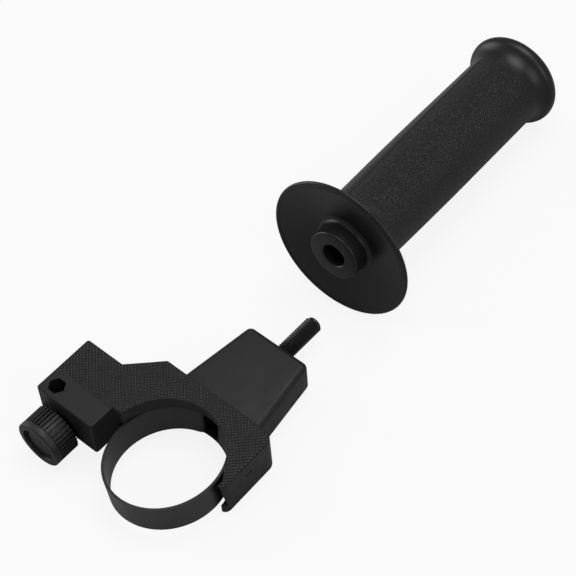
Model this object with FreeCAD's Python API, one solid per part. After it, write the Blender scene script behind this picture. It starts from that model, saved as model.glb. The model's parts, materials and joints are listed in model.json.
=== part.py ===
import FreeCAD, Part
import math
import os

from FreeCAD import Placement, Rotation, Vector

# Side handle for a hammer drill, taken apart: the clamp with its strap and stud, and the
# unscrewed handle lying beside it. Millimetres. The origin is where the stud's axis crosses
# the collar's axis. +X points to the short leg, +Y along the stud to the handle, and +Z out
# of the front plate.

# Strap
strap_inner_r = 25.0
strap_thick = 1.2
strap_width = 13.0
strap_swell = 2.6           # how much the upper arcs' radius is larger than the lower arc's
strap_swell_angle = 25.0    # below the horizontal, where the upper arcs begin
strap_fold_inner_r = 1.2
strap_end_y = 41.0
strap_tang_height = 9.6     # the folded ends, past the loop
strap_tang_start_y = 30.0
strap_pull = 2.5            # travel of the strap and bolt when the handle is tightened

# Bolt and cross pin
stud_r = 4.0
stud_tip_y = 94.2
stud_tip_chamfer = 1.0
stud_relief_r = 3.4         # groove at the inner end of the thread
stud_relief_length = 3.0
stud_relief_gap = 0.3       # from the tower's end to the first thread
tongue_thick = 8.0
tongue_height = 10.0
tongue_start_y = 32.0
tongue_end_y = 43.0
tongue_corner_r = 2.0
pin_r = 2.5
pin_y = 36.5
pin_head_r = 3.6
pin_head_thick = 0.9

# Carrier
plate_front_z = 11.5
body_half_depth = 8.0       # the back face and both faces of the tower
collar_lip_r = 26.6         # the front plate's opening round the collar
collar_lip_x = -0.25
collar_lip_y = -1.0
back_lip_r = 28.0
arm_left_x = -63.4
arm_end_y = -10.3
arm_inner_x = -31.5
arm_top_y = 20.6
arm_neck_x = -43.7          # where the sloping shoulder leaves the arm
shoulder_x = -29.5
plate_top_y = 34.0
left_leg_end_y = 2.5
leg_outer_x = 30.3
leg_end_y = 2.4
leg_corner_r = 3.0
leg_lip_angle = 36.0        # where the front lip stops following the collar
leg_lip_end_x = 27.6
leg_slit_length = 3.6       # small slit in the short leg's side
leg_slit_width = 0.9
leg_slit_depth = 0.8
leg_slit_y = 17.3
leg_slit_z = 4.9
plate_corner_r = 1.2
plate_edge_r = 0.6
groove_clearance = 0.3
tower_end_y = 70.8
tower_root_half = 21.6
tower_end_half = 15.8
tower_edge_r = 2.6
tower_corner_r = 3.0
slot_clearance = 0.5
bolt_clearance = 0.1        # running fit of the stud in the tower

# Depth-rod hole and lock
rod_across_flats = 7.0
rod_x = -55.9
rod_y = -4.2
lock_x = -52.9
lock_z = -6.9
lock_screw_r = 3.0
lock_clearance = 0.05       # running fit of the screw in the insert and the knob
screw_wall_clearance = 0.3
lock_tip_setback = 0.3      # from the rod hole's flat to the screw's tip
insert_r = 4.6
insert_length = 1.8
insert_edge = 0.3

# Knob
knob_gap = 1.2
knob_hub_r = 7.2
knob_hub_length = 0.8
knob_length = 13.8          # with the hub
knob_collar_r = 11.55
knob_collar_length = 3.6
knob_collar_edge_r = 0.9
knob_rib_r = 10.95
knob_root_r = 10.4
knob_ribs = 36
knob_rib_share = 0.55       # of the pitch, at the root
knob_recess_r = 8.5
knob_recess_depth = 2.6
knob_button_r = 6.4
knob_button_height = 0.6
knob_screw_depth = 10.0
knob_edge = 0.5

# Handle
boss_r = 12.25
boss_chamfer = 1.0
boss_length = 9.5
boss_root_r = 2.6
bore_r = 5.65
bore_chamfer = 0.5
flange_r = 35.0
flange_rim_s = 5.4          # the middle of the rim, from the boss's face
flange_edge_r = 0.9
flange_web = 3.0
flange_back_root = 4.0
grip_start_r = 17.9
grip_middle_r = 18.5
grip_end_r = 18.4
grip_end_s = 123.0
pommel_r = 23.15
pommel_s = 141.0            # where the flared end is widest
pommel_edge_r = 4.0
flare_pull = 13.0           # how far the straight grip carries into the flare
handle_end_s = 146.5
seam_start_width = 9.6
seam_end_width = 7.2
seam_drift = 3.2            # sideways, from the seam's start to its end
seam_height = 0.25
seam_angle = -35.0          # round the grip from the side away from the table
seam_start_s = 17.0
seam_end_s = 119.0
thread_insert_r = 7.5
thread_insert_start_s = 9.0
thread_insert_length = 15.0
thread_clearance = 0.05
thread_run_out = 12.0       # blind hole past the insert
thread_run_out_clearance = 0.5

# Where the handle lies
handle_x = -2.8
handle_y = 119.1
handle_turn = 4.3           # degrees, anticlockwise seen from above

half_width = strap_width / 2
strap_mid_r = strap_inner_r + strap_thick / 2
strap_outer_r = strap_inner_r + strap_thick
tongue_half = tongue_thick / 2
groove_half = half_width + groove_clearance
tang_half = strap_tang_height / 2
lip_centre = Vector(collar_lip_x, collar_lip_y, 0)


def polar(centre, radius, degrees):
    """Point at an angle round a centre, in the XY plane."""
    angle = math.radians(degrees)
    return centre + Vector(radius * math.cos(angle), radius * math.sin(angle), 0)


def arc_between(centre, radius, start, end):
    """Circular edge round a centre between two angles, in either direction."""
    middle = (start + end) / 2
    return Part.Arc(polar(centre, radius, start), polar(centre, radius, middle),
                    polar(centre, radius, end)).toShape()


def line(start, end):
    return Part.LineSegment(start, end).toShape()


def prism(points, bottom, top):
    """Straight-sided solid over a polygon of (x, y) points."""
    wire = Part.makePolygon([Vector(x, y, bottom) for x, y in points + points[:1]])
    return Part.Face(wire).extrude(Vector(0, 0, top - bottom))


def rod(radius, start, end):
    """Round bar between two points."""
    direction = end - start
    return Part.makeCylinder(radius, direction.Length, start, direction)


def block(low, high):
    size = high - low
    return Part.makeBox(size.x, size.y, size.z, low)


def upright_edges(shape, x, y):
    """Edges parallel to Z through a point of the plan."""
    return [edge for edge in shape.Edges
            if all(abs(v.X - x) < 0.01 and abs(v.Y - y) < 0.01 for v in edge.Vertexes)
            and edge.Length > 0.1]


def body_roll():
    """Angle about the stud at which the knob's collar and the short leg both rest on the table."""
    across = leg_outer_x - lock_x
    below = lock_z + body_half_depth
    return math.degrees(math.asin(knob_collar_r / math.hypot(across, below)) - math.atan2(below, across))


def rolled(shape):
    """Turn a piece of the carrier or its lock from the carrier's own level to how it rests."""
    moved = shape.copy()
    moved.Placement = Placement(Vector(), Rotation(Vector(0, 1, 0), body_roll())).multiply(shape.Placement)
    return moved


def table_z():
    knob_centre = Rotation(Vector(0, 1, 0), body_roll()).multVec(lock_point(0))
    return knob_centre.z - knob_collar_r


def save(name, shape):
    shape = shape.removeSplitter()
    if len(shape.Solids) != 1 or not shape.isValid():
        raise ValueError(name + " is not one sound solid")
    shape.Solids[0].exportStep("parts/" + name + ".step")


# Strap: half a loop from the bottom to the folded end, then its mirror image
def strap_geometry():
    """Centres and angles of the left half's three arcs, as a dictionary."""
    swell_start = 180.0 + strap_swell_angle
    upper_centre = polar(Vector(), strap_swell, strap_swell_angle)
    upper_r = strap_mid_r + strap_swell
    fold_r = strap_fold_inner_r + strap_thick / 2
    end_x = -tongue_half - strap_thick / 2
    fold_x = end_x - fold_r
    reach = upper_r + fold_r
    rise = math.sqrt(reach ** 2 - (fold_x - upper_centre.x) ** 2)
    fold_centre = Vector(fold_x, upper_centre.y + rise, 0)
    meet = math.degrees(math.atan2(rise, fold_x - upper_centre.x))
    return {"swell_start": swell_start, "upper_centre": upper_centre, "upper_r": upper_r,
            "fold_centre": fold_centre, "fold_r": fold_r, "meet": meet, "end_x": end_x}


def strap_side(g, offset):
    """Edges of one face of the strip, offset outwards from its middle, bottom to end."""
    end_x = g["end_x"] - offset
    fold_r = g["fold_r"] - offset
    return [arc_between(Vector(), strap_mid_r + offset, 270.0, g["swell_start"]),
            arc_between(g["upper_centre"], g["upper_r"] + offset, g["swell_start"], g["meet"]),
            arc_between(g["fold_centre"], fold_r, g["meet"] - 180.0, 0.0),
            line(Vector(end_x, g["fold_centre"].y, 0), Vector(end_x, strap_end_y, 0))]


def strap_band():
    g = strap_geometry()
    inner = strap_side(g, -strap_thick / 2)
    outer = strap_side(g, strap_thick / 2)
    bottom = line(Vector(0, -strap_outer_r, 0), Vector(0, -strap_inner_r, 0))
    tip = line(Vector(-tongue_half, strap_end_y, 0), Vector(-tongue_half - strap_thick, strap_end_y, 0))
    wire = Part.Wire(Part.__sortEdges__(inner + [tip] + outer + [bottom]))
    half = Part.Face(wire).extrude(Vector(0, 0, strap_width))
    half.translate(Vector(0, 0, -half_width))
    other = half.mirror(Vector(), Vector(1, 0, 0))
    hole = rod(pin_r, Vector(-2 * tongue_thick, pin_y, 0), Vector(2 * tongue_thick, pin_y, 0))
    outside = strap_outer_r + strap_swell
    shoulders = [block(Vector(-outside, strap_tang_start_y, low), Vector(outside, strap_end_y + 1, high))
                 for low, high in ((-half_width - 1, -tang_half), (tang_half, half_width + 1))]
    return half.fuse(other).cut([hole] + shoulders)


# Bolt: round stud that ends in a flat tongue
def clamp_bolt():
    half_height = tongue_height / 2
    tongue = block(Vector(-tongue_half, tongue_start_y, -half_height),
                   Vector(tongue_half, tongue_end_y, half_height))
    corners = [edge for edge in tongue.Edges if edge.Length == tongue_thick]
    tongue = tongue.makeFillet(tongue_corner_r, corners)
    stud = rod(stud_r, Vector(0, tongue_end_y - tongue_corner_r, 0), Vector(0, stud_tip_y, 0))
    tip = [edge for edge in stud.Edges if edge.BoundBox.YMin > stud_tip_y - 0.01]
    stud = stud.makeChamfer(stud_tip_chamfer, tip)
    hole = rod(pin_r, Vector(-tongue_thick, pin_y, 0), Vector(tongue_thick, pin_y, 0))
    relief_end = tower_end_y + stud_relief_gap
    relief_start = relief_end - stud_relief_length
    relief = rod(stud_r + 1, Vector(0, relief_start, 0), Vector(0, relief_end, 0))
    relief = relief.cut(rod(stud_relief_r, Vector(0, relief_start - 1, 0), Vector(0, relief_end + 1, 0)))
    return tongue.fuse(stud).cut([hole, relief])


def pin_head_x():
    return tongue_half + strap_thick + pin_head_thick


def strap_pin():
    outside = tongue_half + strap_thick
    shank = rod(pin_r, Vector(-outside, pin_y, 0), Vector(outside, pin_y, 0))
    heads = [rod(pin_head_r, Vector(side * outside, pin_y, 0), Vector(side * pin_head_x(), pin_y, 0))
             for side in (-1, 1)]
    return shank.multiFuse(heads)


# Carrier: plate and tower, less the collar, the strap's groove, the bolt's slot and the lock
def plate():
    lip_left_x = collar_lip_x - math.sqrt(collar_lip_r ** 2 - (left_leg_end_y - collar_lip_y) ** 2)
    lip_right = polar(lip_centre, collar_lip_r, math.degrees(math.asin((leg_end_y - collar_lip_y) / collar_lip_r)))
    left = [(lip_left_x, left_leg_end_y), (arm_inner_x, left_leg_end_y), (arm_inner_x, arm_end_y),
            (arm_left_x, arm_end_y), (arm_left_x, arm_top_y), (arm_neck_x, arm_top_y),
            (shoulder_x, plate_top_y), (leg_outer_x, plate_top_y), (leg_outer_x, leg_end_y),
            (lip_right.x, lip_right.y)]
    sides = [line(Vector(*a, 0), Vector(*b, 0)) for a, b in zip(left, left[1:])]
    collar_top = polar(lip_centre, collar_lip_r, 90)
    collar = Part.Arc(lip_right, collar_top, Vector(lip_left_x, left_leg_end_y, 0)).toShape()
    outline = Part.Face(Part.Wire(Part.__sortEdges__(sides + [collar])))
    solid = outline.extrude(Vector(0, 0, plate_front_z + body_half_depth))
    solid.translate(Vector(0, 0, -body_half_depth))
    solid = solid.makeFillet(leg_corner_r, upright_edges(solid, leg_outer_x, leg_end_y))
    for x, y in ((arm_left_x, arm_end_y), (arm_left_x, arm_top_y), (arm_inner_x, arm_end_y),
                 (shoulder_x, plate_top_y), (leg_outer_x, plate_top_y)):
        solid = solid.makeFillet(plate_corner_r, upright_edges(solid, x, y))
    return solid


def round_front_edges(solid):
    """Round the outer edges of the front plate, all but those of the collar opening."""
    front = [edge for edge in solid.Edges
             if edge.BoundBox.ZMin > plate_front_z - 0.01 and not on_collar(edge)]
    return solid.makeFillet(plate_edge_r, front)


def on_collar(edge):
    middle = edge.valueAt((edge.FirstParameter + edge.LastParameter) / 2)
    return math.hypot(middle.x - collar_lip_x, middle.y - collar_lip_y) < collar_lip_r + 0.1


def tower():
    """Tapered block for the stud; it starts inside the plate."""
    root_y = back_lip_r
    slope = (tower_root_half - tower_end_half) / (tower_end_y - plate_top_y)
    root_half = tower_end_half + slope * (tower_end_y - root_y)
    solid = prism([(-root_half, root_y), (root_half, root_y),
                   (tower_end_half, tower_end_y), (-tower_end_half, tower_end_y)],
                  -body_half_depth, body_half_depth)
    for side in (-1, 1):
        solid = solid.makeFillet(tower_corner_r, upright_edges(solid, side * tower_end_half, tower_end_y))
    rims = [edge for edge in solid.Edges
            if abs(abs(edge.BoundBox.Center.z) - body_half_depth) < 0.01 and edge.BoundBox.YMax > root_y + 0.01]
    return solid.makeFillet(tower_edge_r, rims)


def strap_reach():
    """Largest distance of the strap's outside from the collar's axis."""
    g = strap_geometry()
    crest = polar(g["upper_centre"], g["upper_r"] + strap_thick / 2, g["meet"])
    return crest.Length


def strap_cuts():
    """Room for the strap and the bolt, on their own level."""
    groove_r = strap_reach() + groove_clearance
    groove = Part.makeCylinder(groove_r, 2 * groove_half, Vector(0, strap_pull, -groove_half))
    strap_side_x = tongue_half + strap_thick + slot_clearance
    fold_end_y = strap_tang_start_y + strap_pull + slot_clearance
    fold_slot = block(Vector(-strap_side_x, 0, -groove_half), Vector(strap_side_x, fold_end_y, groove_half))
    tang_side_x = pin_head_x() + slot_clearance
    tang_end_y = tongue_end_y + strap_pull + slot_clearance
    tang_room = tongue_height / 2 + groove_clearance
    tang_slot = block(Vector(-tang_side_x, 0, -tang_room), Vector(tang_side_x, tang_end_y, tang_room))
    bolt_hole = rod(stud_r + bolt_clearance, Vector(), Vector(0, tower_end_y + 1, 0))
    return [groove, fold_slot, tang_slot, bolt_hole]


def carrier_cuts():
    """Cuts square to the carrier's own faces."""
    past_front = plate_front_z + 1
    collar = Part.makeCylinder(collar_lip_r, past_front + 1, Vector(collar_lip_x, collar_lip_y, -1))
    back = Part.makeCylinder(back_lip_r, body_half_depth + 2, Vector(0, 0, -body_half_depth - 1))
    lip_start = polar(lip_centre, collar_lip_r, leg_lip_angle)
    relief = prism([(0, 0), (lip_start.x, lip_start.y), (leg_lip_end_x, leg_end_y + leg_corner_r),
                    (leg_lip_end_x, leg_end_y - 1), (0, leg_end_y - 1)], 0, past_front)
    slit_reach = Vector(leg_slit_depth, leg_slit_length / 2, leg_slit_width / 2)
    slit_middle = Vector(leg_outer_x, leg_slit_y, leg_slit_z)
    slit = block(slit_middle - slit_reach, slit_middle + slit_reach)
    return [collar, back, relief, slit, rod_hole()] + lock_holes()


def rod_hole():
    """Hexagonal hole through the arm, corners pointing along X."""
    corner_r = rod_across_flats / math.sqrt(3)
    centre = Vector(rod_x, rod_y, 0)
    corners = [polar(centre, corner_r, 60 * i) for i in range(6)]
    return prism([(c.x, c.y) for c in corners], -body_half_depth - 1, plate_front_z + 1)


def lock_point(y):
    return Vector(lock_x, y, lock_z)


def lock_holes():
    pocket = rod(insert_r, lock_point(arm_end_y - 1), lock_point(arm_end_y + insert_length))
    hole = rod(lock_screw_r + screw_wall_clearance, lock_point(arm_end_y), lock_point(rod_y))
    return [pocket, hole]


def clamp_carrier():
    body = round_front_edges(plate()).fuse(tower())
    return rolled(body.cut(carrier_cuts())).cut(strap_cuts())


# Lock: insert, screw and knob on one axis that runs along Y
def lock_insert():
    sleeve = rod(insert_r, lock_point(arm_end_y), lock_point(arm_end_y + insert_length))
    sleeve = sleeve.makeChamfer(insert_edge, [edge for edge in sleeve.Edges if edge.BoundBox.YMax < arm_end_y + 0.01])
    bore = rod(lock_screw_r + lock_clearance, lock_point(arm_end_y - 1), lock_point(0))
    return rolled(sleeve.cut(bore))


def knob_start_y():
    return arm_end_y - knob_gap


def lock_screw():
    rod_flat_y = rod_y - rod_across_flats / 2
    tip = rod_flat_y - lock_tip_setback
    return rolled(rod(lock_screw_r, lock_point(knob_start_y() - knob_screw_depth), lock_point(tip)))


def ribbed_section():
    """Closed outline of the ribbed part, round the knob's own axis."""
    pitch = 360.0 / knob_ribs
    points = []
    for i in range(knob_ribs):
        for share, radius in ((-1, knob_root_r), (-0.5, knob_rib_r), (0.5, knob_rib_r), (1, knob_root_r)):
            angle = pitch * (i + share * knob_rib_share / 2)
            points.append(polar(Vector(), radius, angle))
    return Part.makePolygon(points + points[:1])


def lock_knob():
    """Built along +Z from the hub's face, then laid along -Y."""
    hub = Part.makeCylinder(knob_hub_r, knob_hub_length)
    ribbed = Part.Face(ribbed_section()).extrude(Vector(0, 0, knob_length - knob_hub_length - knob_edge))
    ribbed.translate(Vector(0, 0, knob_hub_length))
    collar = Part.makeCylinder(knob_collar_r, knob_collar_length, Vector(0, 0, knob_length - knob_collar_length))
    collar = collar.makeFillet(knob_collar_edge_r, [e for e in collar.Edges if e.BoundBox.ZMin > knob_length - 0.01])
    collar = collar.makeChamfer(knob_edge, [e for e in collar.Edges
                                            if e.BoundBox.ZMax < knob_length - knob_collar_length + 0.01
                                            and e.BoundBox.XLength > knob_collar_r])
    recess = Part.makeCylinder(knob_recess_r, knob_recess_depth, Vector(0, 0, knob_length - knob_recess_depth))
    button = Part.makeCylinder(knob_button_r, knob_button_height, Vector(0, 0, knob_length - knob_recess_depth))
    bore = Part.makeCylinder(lock_screw_r + lock_clearance, knob_screw_depth + lock_clearance)
    knob = hub.multiFuse([ribbed, collar]).cut(recess).fuse(button).cut(bore)
    knob.Placement = Placement(lock_point(knob_start_y()), Rotation(Vector(1, 0, 0), 90))
    return rolled(knob)


# Handle: turned round its own axis, then laid on the table
def curve(points, start_tangent=None, end_tangent=None):
    """Smooth edge through (s, r) points of the handle's section."""
    spline = Part.BSplineCurve()
    poles = [section_point(*p) for p in points]
    if start_tangent:
        spline.interpolate(poles, InitialTangent=section_point(*start_tangent),
                           FinalTangent=section_point(*end_tangent))
    else:
        spline.interpolate(poles)
    return spline.toShape()


def section_point(s, r):
    """A point of the handle's section: s along the axis, r from it."""
    return Vector(r, s, 0)


def section_line(a, b):
    return line(section_point(*a), section_point(*b))


def section_arc(a, middle, b):
    return Part.Arc(section_point(*a), section_point(*middle), section_point(*b)).toShape()


def pommel_end():
    """Middle and end of the flared end's rounded edge, and the middle of the dome that meets it."""
    edge_r = pommel_r - pommel_edge_r
    overhang = handle_end_s - pommel_edge_r - pommel_s
    behind = (edge_r ** 2 - overhang ** 2) / (2 * overhang)
    dome_r = behind + overhang + pommel_edge_r
    dome_centre_s = pommel_s - behind
    meet = math.atan2(edge_r, behind)

    def round_edge(angle):
        return (pommel_s + pommel_edge_r * math.cos(angle), edge_r + pommel_edge_r * math.sin(angle))

    dome_middle = (dome_centre_s + dome_r * math.cos(meet / 2), dome_r * math.sin(meet / 2))
    return round_edge((meet + math.pi / 2) / 2), round_edge(meet), dome_middle


def handle_section():
    """Edges of the handle's outside, from the axis at the boss to the axis at the far end."""
    diagonal = 1 - math.sqrt(0.5)
    rim_front = flange_rim_s - flange_edge_r
    rim_back = flange_rim_s + flange_edge_r
    rim_flat_r = flange_r - flange_edge_r
    boss_foot = (boss_length - boss_root_r, boss_r)
    dish_start = (boss_length, boss_r + boss_root_r)
    boss_round = (boss_length - boss_root_r * diagonal, boss_r + boss_root_r * diagonal)
    web_back = boss_length + flange_web
    back_root = (web_back + flange_back_root, grip_start_r)
    back_start = (web_back, grip_start_r + flange_back_root)
    back_round = (web_back + flange_back_root * diagonal, grip_start_r + flange_back_root * diagonal)
    widest = (pommel_s, pommel_r)
    end_edge, dome_start, dome_middle = pommel_end()
    return [section_line((0, 0), (0, boss_r - boss_chamfer)),
            section_line((0, boss_r - boss_chamfer), (boss_chamfer, boss_r)),
            section_line((boss_chamfer, boss_r), boss_foot),
            section_arc(boss_foot, boss_round, dish_start),
            section_line(dish_start, (rim_front, rim_flat_r)),
            section_arc((rim_front, rim_flat_r), (flange_rim_s, flange_r), (rim_back, rim_flat_r)),
            section_line((rim_back, rim_flat_r), back_start),
            section_arc(back_start, back_round, back_root),
            curve([back_root, ((back_root[0] + grip_end_s) / 2, grip_middle_r), (grip_end_s, grip_end_r)]),
            curve([(grip_end_s, grip_end_r), widest], (flare_pull, 0), (flare_pull, 0)),
            section_arc(widest, end_edge, dome_start),
            section_arc(dome_start, dome_middle, (handle_end_s, 0)),
            section_line((handle_end_s, 0), (0, 0))]


def seam_strip():
    """Low raised band along the grip where the mould's halves meet, one on each side."""
    strips = []
    for side in (0, 180):
        strip = prism([(-seam_start_width / 2, seam_start_s), (seam_start_width / 2, seam_start_s),
                       (seam_end_width / 2 - seam_drift, seam_end_s),
                       (-seam_end_width / 2 - seam_drift, seam_end_s)], 0, 2 * grip_middle_r)
        strip.rotate(Vector(), Vector(0, 1, 0), seam_angle + side)
        strips.append(strip)
    return strips


def handle_grip():
    face = Part.Face(Part.Wire(Part.__sortEdges__(handle_section())))
    solid = face.revolve(Vector(), Vector(0, 1, 0), 360)
    band_side = curve([(seam_start_s, grip_start_r + seam_height),
                       ((seam_start_s + seam_end_s) / 2, grip_middle_r + seam_height),
                       (seam_end_s, grip_end_r + seam_height)])
    band = Part.Face(Part.Wire([section_line((seam_start_s, 0), (seam_start_s, grip_start_r + seam_height)),
                                band_side,
                                section_line((seam_end_s, grip_end_r + seam_height), (seam_end_s, 0)),
                                section_line((seam_end_s, 0), (seam_start_s, 0))]))
    sleeve = band.revolve(Vector(), Vector(0, 1, 0), 360)
    seams = [sleeve.common(strip) for strip in seam_strip()]
    solid = solid.multiFuse(seams)
    insert_end = thread_insert_start_s + thread_insert_length
    mouth = rod(bore_r, Vector(0, -1, 0), Vector(0, thread_insert_start_s, 0))
    rim = Part.makeCone(bore_r + bore_chamfer + 1, bore_r, bore_chamfer + 1, Vector(0, -1, 0), Vector(0, 1, 0))
    run_out = rod(stud_r + thread_run_out_clearance, Vector(0, insert_end, 0),
                  Vector(0, insert_end + thread_run_out, 0))
    return lay(solid.cut([mouth, rim, run_out, thread_insert_blank()]))


def thread_insert_blank():
    """Hexagonal sleeve moulded into the boss."""
    corners = [polar(Vector(), thread_insert_r, 60 * i) for i in range(6)]
    blank = prism([(c.x, c.y) for c in corners], 0, thread_insert_length)
    blank.Placement = Placement(Vector(0, thread_insert_start_s, 0), Rotation(Vector(1, 0, 0), -90))
    return blank


def handle_insert():
    bore = rod(stud_r + thread_clearance, Vector(0, 0, 0),
               Vector(0, thread_insert_start_s + thread_insert_length + 1, 0))
    return lay(thread_insert_blank().cut(bore))


def rest_tilt():
    """Angle at which the flange's rim and the flared end both touch the table."""
    span = pommel_s - flange_rim_s
    fall = (flange_r - flange_edge_r) - (pommel_r - pommel_edge_r)
    rounding = flange_edge_r - pommel_edge_r
    return math.degrees(math.atan2(fall, span) + math.asin(rounding / math.hypot(span, fall)))


def lay(shape):
    """Move a piece built along +Y from the boss's face to where the handle lies."""
    tilt = rest_tilt()
    turn = Rotation(Vector(0, 0, 1), handle_turn).multiply(Rotation(Vector(1, 0, 0), -tilt))
    rim_height = (flange_r - flange_edge_r) * math.cos(math.radians(tilt)) + flange_edge_r
    rim_centre = Vector(handle_x, handle_y, table_z() + rim_height)
    start = rim_centre - turn.multVec(Vector(0, flange_rim_s, 0))
    moved = shape.copy()
    moved.Placement = Placement(start, turn).multiply(shape.Placement)
    return moved


def print_places():
    """Places that the record repeats, in millimetres."""
    roll = Rotation(Vector(0, 1, 0), body_roll())
    knob = roll.multVec(lock_point(knob_start_y()))
    hole = roll.multVec(Vector(rod_x, rod_y, (plate_front_z - body_half_depth) / 2))
    print("table z", round(table_z(), 4), "roll", round(body_roll(), 4), "handle tilt", round(rest_tilt(), 4))
    print("knob start", [round(v, 4) for v in knob], "rod hole middle", [round(v, 4) for v in hole])
    thread = lay(Part.Vertex(0, thread_insert_start_s + thread_insert_length / 2, 0))
    boss = lay(Part.Vertex(0, 0, 0))
    out = (boss.Point - thread.Point).normalize()
    print("thread middle", [round(v, 4) for v in thread.Point], "way out", [round(v, 5) for v in out])
    print("boss face", [round(v, 4) for v in boss.Point])


def main():
    os.makedirs("parts", exist_ok=True)
    save("clamp_carrier", clamp_carrier())
    save("strap_band", strap_band())
    save("clamp_bolt", clamp_bolt())
    save("strap_pin", strap_pin())
    save("lock_insert", lock_insert())
    save("lock_screw", lock_screw())
    save("lock_knob", lock_knob())
    save("handle_grip", handle_grip())
    save("handle_insert", handle_insert())
    print_places()


main()
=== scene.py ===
import json
import math

import bmesh
import bpy
from bpy.props import FloatProperty, FloatVectorProperty, IntProperty, PointerProperty
from bpy.types import Operator, Panel, PropertyGroup
from mathutils import Matrix, Vector


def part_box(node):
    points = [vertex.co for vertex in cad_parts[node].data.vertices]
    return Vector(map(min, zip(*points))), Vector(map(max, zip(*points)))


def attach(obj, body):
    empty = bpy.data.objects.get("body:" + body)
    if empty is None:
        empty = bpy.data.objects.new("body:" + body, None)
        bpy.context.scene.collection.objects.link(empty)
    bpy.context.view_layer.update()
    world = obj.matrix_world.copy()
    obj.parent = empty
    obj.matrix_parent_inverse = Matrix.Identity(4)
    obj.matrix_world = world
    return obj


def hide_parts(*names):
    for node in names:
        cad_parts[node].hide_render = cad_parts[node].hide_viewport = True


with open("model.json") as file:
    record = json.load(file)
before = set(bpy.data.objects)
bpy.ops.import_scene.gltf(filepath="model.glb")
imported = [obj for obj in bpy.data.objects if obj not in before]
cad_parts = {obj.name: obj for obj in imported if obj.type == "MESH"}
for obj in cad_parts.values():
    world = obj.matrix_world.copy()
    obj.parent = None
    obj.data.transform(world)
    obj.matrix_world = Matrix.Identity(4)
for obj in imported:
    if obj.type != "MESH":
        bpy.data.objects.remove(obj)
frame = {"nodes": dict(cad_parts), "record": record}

bl_info = {
    "name": "Hammer drill side handle",
    "version": (1, 0, 0),
    "blender": (4, 5, 0),
    "location": "3D View > Sidebar > Side Handle",
    "description": "Dresses a strap-clamp side handle and its unscrewed grip",
    "category": "Object",
}

MM = 0.001


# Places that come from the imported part

def mount(name):
    return next(m for m in frame["record"]["mounts"] if m["name"] == name)


def handle_matrix():
    """From the handle's own frame, with +Y from the boss's face to the far end, to the object's."""
    thread = mount("handle_thread")
    out = Vector(thread["axis"]).normalized()
    half = thread["dims"]["length_mm"] / 2 * MM
    boss_face = Vector(thread["pos_m"]) + out * (half + HANDLE_THREAD_DEPTH * MM)
    y = -out
    x = y.cross(Vector((0, 0, 1))).normalized()
    z = x.cross(y)
    turn = Matrix((x, y, z)).transposed().to_4x4()
    return Matrix.Translation(boss_face) @ turn


def knob_matrix():
    """From the knob's own frame, with +Y from the arm's side to the outer face, to the object's."""
    low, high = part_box("lock_knob")
    start = Vector(((low.x + high.x) / 2, high.y, (low.z + high.z) / 2))
    return Matrix.Translation(start) @ Matrix.Rotation(math.pi, 4, "Z")


def clamp_roll():
    """Angle about +Y between the clamp body's own level and the object's."""
    axis = Vector(mount("rod_hole")["axis"])
    return math.atan2(axis.x, axis.z)


HANDLE_THREAD_DEPTH = 9.0
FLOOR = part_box("lock_knob")[0].z


# Sizes and colours

class GripSizes(PropertyGroup):
    boss_radius: FloatProperty(
        name="Boss radius", default=12.25,
        description="Outside of the boss round the bore, in mm")
    boss_length: FloatProperty(
        name="Boss length", default=9.5,
        description="From the boss's face to the foot of the dish, in mm")
    bore_radius: FloatProperty(
        name="Bore radius", default=5.65,
        description="Mouth of the bore, in mm")
    flange_radius: FloatProperty(
        name="Flange radius", default=35.0,
        description="Outside of the dished flange, in mm")
    rim_place: FloatProperty(
        name="Rim place", default=5.4,
        description="Middle of the flange's rim from the boss's face, in mm")
    grip_radius: FloatProperty(
        name="Grip radius", default=18.5,
        description="Middle of the grip, in mm")
    end_radius: FloatProperty(
        name="End radius", default=22.9,
        description="Widest place of the flared end, in mm")
    end_place: FloatProperty(
        name="End place", default=140.4,
        description="Widest place from the boss's face, in mm")
    length: FloatProperty(
        name="Length", default=145.7,
        description="From the boss's face to the far end, in mm")
    ridge_height: FloatProperty(
        name="Ridge height", default=0.24,
        description="Fine ridges along both sides of the smooth band, in mm")
    columns: IntProperty(
        name="Columns", default=56, min=12,
        description="Faces round half of the grained part")


class KnobSizes(PropertyGroup):
    ribs: IntProperty(
        name="Ribs", default=36, min=8,
        description="Ribs round the knob")
    root_radius: FloatProperty(
        name="Rib root radius", default=10.45,
        description="Knob between its ribs, in mm")
    rib_height: FloatProperty(
        name="Rib height", default=1.05,
        description="How far a rib stands out, in mm")
    collar_radius: FloatProperty(
        name="Collar radius", default=11.55,
        description="Plain collar at the outer face, in mm")
    recess_radius: FloatProperty(
        name="Recess radius", default=8.5,
        description="Sunk face inside the collar, in mm")
    recess_depth: FloatProperty(
        name="Recess depth", default=1.9,
        description="Depth of the sunk face, in mm")


class StudSizes(PropertyGroup):
    pitch: FloatProperty(
        name="Thread pitch", default=1.25,
        description="Distance between the stud's threads, in mm")
    depth: FloatProperty(
        name="Thread depth", default=0.72,
        description="From the crest to the root, in mm")
    run_in: FloatProperty(
        name="Run-in", default=1.5,
        description="Thread that lies inside the clamp's tower, in mm")


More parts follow.
